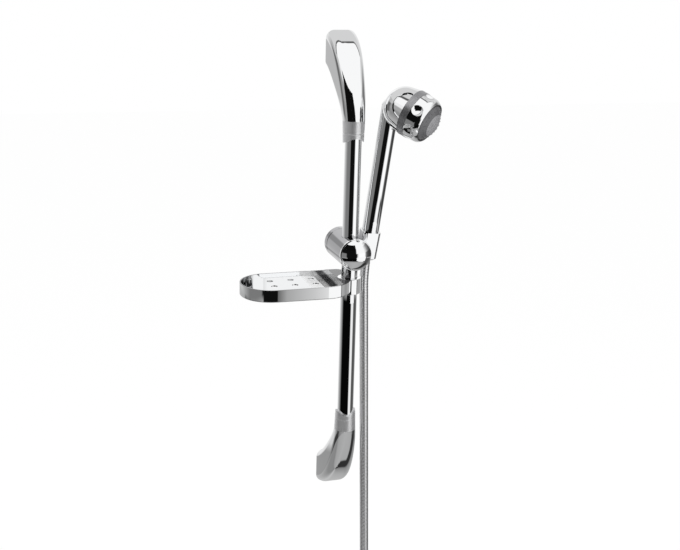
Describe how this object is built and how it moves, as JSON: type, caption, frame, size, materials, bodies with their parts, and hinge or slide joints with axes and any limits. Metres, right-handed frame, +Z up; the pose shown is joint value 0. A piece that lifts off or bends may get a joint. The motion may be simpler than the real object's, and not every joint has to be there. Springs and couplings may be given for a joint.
{
  "type": "hand shower set on slide rail",
  "caption": "Chrome shower slide rail between sculpted wall brackets, with a sliding clamp holder, a soap dish and a ball-headed hand shower on a ribbed metal hose.",
  "frame": {"origin": "middle of the four wall-fixing holes, on the wall plane", "axes": "+Z up along the rail, +Y into the wall, +X to the right for someone facing the wall"},
  "size_m": [0.2858, 0.1628, 1.1034],
  "materials": {
    "polished_chrome": "polished",
    "satin_chrome": "satin",
    "fixing_steel": "plain",
    "cast_aluminium": "plain",
    "white_nylon": "matte",
    "brass": "plain",
    "dark_grey_face": "matte",
    "light_grey_face": "matte",
    "black_rubber": "matte",
    "ribbed_metal": "ribbed"
  },
  "bodies": {
    "rail_frame": {"riser_rail": "polished_chrome", "top_bracket": "polished_chrome", "top_wall_plate": "fixing_steel", "top_lock_screw": "fixing_steel", "top_rail_plug": "cast_aluminium", "top_collar": "satin_chrome", "top_collar_screw": "fixing_steel", "bottom_bracket": "polished_chrome", "bottom_wall_plate": "fixing_steel", "bottom_lock_screw": "fixing_steel", "bottom_rail_plug": "cast_aluminium", "bottom_collar": "satin_chrome", "bottom_collar_screw": "fixing_steel"},
    "slider_liner": {"slider_bush": "white_nylon"},
    "slider": {"slider_body": "polished_chrome", "slider_cap": "polished_chrome", "brake_shoe": "white_nylon", "knob_trim": "polished_chrome"},
    "clamp_knob": {"clamp_knob": "polished_chrome", "clamp_stud": "fixing_steel"},
    "hand_shower": {"handle_shell": "polished_chrome", "water_tube": "white_nylon", "inlet_spigot": "brass", "inlet_washer": "black_rubber", "grip_band": "satin_chrome", "diverter": "white_nylon", "head_seal": "black_rubber", "hose_cone": "polished_chrome", "hose": "ribbed_metal", "hose_coil": "ribbed_metal", "coil_tie": "black_rubber", "hose_tail": "ribbed_metal", "end_nut": "polished_chrome", "end_washer": "black_rubber"},
    "spray_selector": {"selector_ring": "polished_chrome", "face_ring": "dark_grey_face", "nozzle_disc": "light_grey_face"},
    "dish_clamp": {"dish_bush": "white_nylon"},
    "dish": {"soap_tray": "polished_chrome", "dish_collar": "polished_chrome", "dish_screw": "fixing_steel"}
  },
  "joints": [
    {"name": "slider_slide", "type": "slide", "parent": "rail_frame", "child": "slider_liner", "axis": [0, 0, 1], "range_m": [-0.012, 0.13]},
    {"name": "slider_turn", "type": "hinge", "parent": "slider_liner", "child": "slider", "pos_m": [0, -0.072, 0.047], "axis": [0, 0, 1], "range_deg": [-35, 20]},
    {"name": "clamp_knob_turn", "type": "hinge", "parent": "slider", "child": "clamp_knob", "pos_m": [0, -0.072, 0.047], "axis": [0, -1, 0], "range_deg": [0, 270]},
    {"name": "hand_shower_lift", "type": "slide", "parent": "slider", "child": "hand_shower", "axis": [0.0913, -0.105, 0.9903], "range_m": [0, 0.034]},
    {"name": "selector_turn", "type": "hinge", "parent": "hand_shower", "child": "spray_selector", "pos_m": [0.0719, -0.11847, 0.26215], "axis": [0.6061, -0.6973, -0.3827], "range_deg": [-60, 60]},
    {"name": "dish_slide", "type": "slide", "parent": "rail_frame", "child": "dish_clamp", "axis": [0, 0, 1], "range_m": [-0.17, 0.002]},
    {"name": "dish_turn", "type": "hinge", "parent": "dish_clamp", "child": "dish", "pos_m": [0, -0.072, -0.007], "axis": [0, 0, 1], "range_deg": [-10, 45]}
  ]
}
